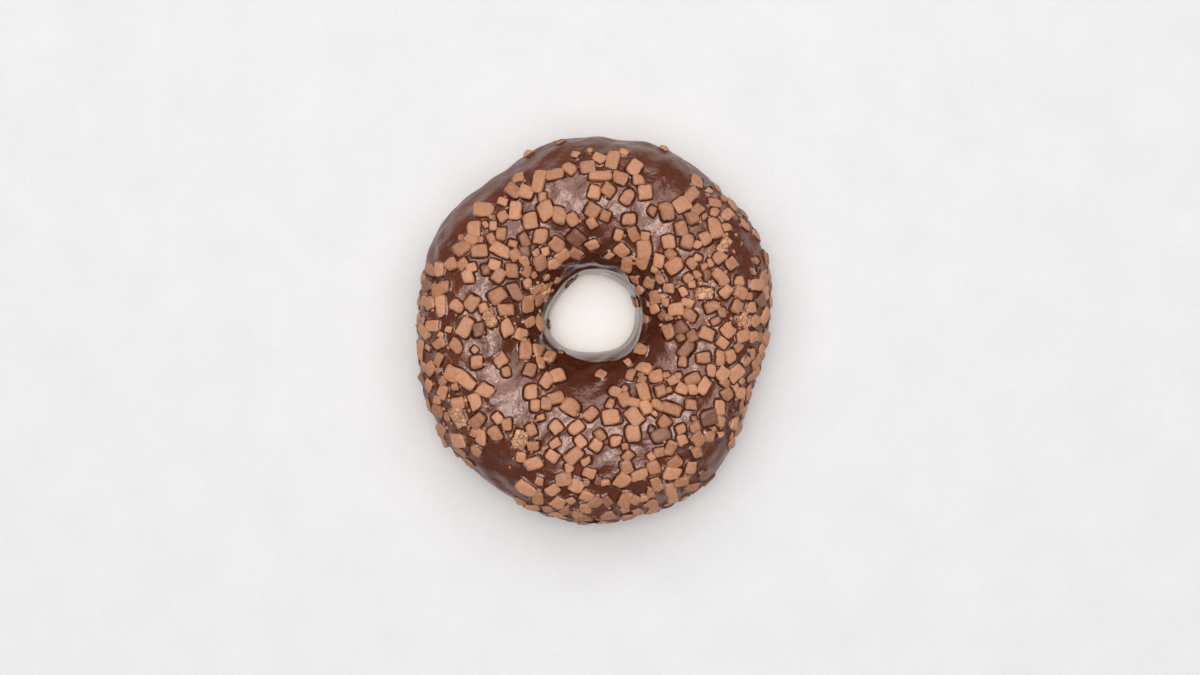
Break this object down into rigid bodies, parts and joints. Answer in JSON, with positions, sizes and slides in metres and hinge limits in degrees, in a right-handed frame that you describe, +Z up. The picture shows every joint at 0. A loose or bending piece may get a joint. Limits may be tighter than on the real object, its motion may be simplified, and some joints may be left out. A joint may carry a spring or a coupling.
{
  "type": "chocolate ring doughnut",
  "caption": "Ring doughnut dipped in dark chocolate icing and scattered with chopped milk chocolate, with a round hole right through.",
  "frame": {"origin": "on the surface the doughnut lies on, under the middle of its box", "axes": "+Z up through the hole, +Y along the longest way across the ring, towards the side that the hole is nearer to"},
  "size_m": [0.0866, 0.0938, 0.0317],
  "materials": {
    "dough": "matt fried crust",
    "icing": "glossy dark chocolate",
    "pieces": "matt milk chocolate"
  },
  "bodies": {
    "root": {"dough": "dough", "icing": "icing"}
  },
  "joints": []
}
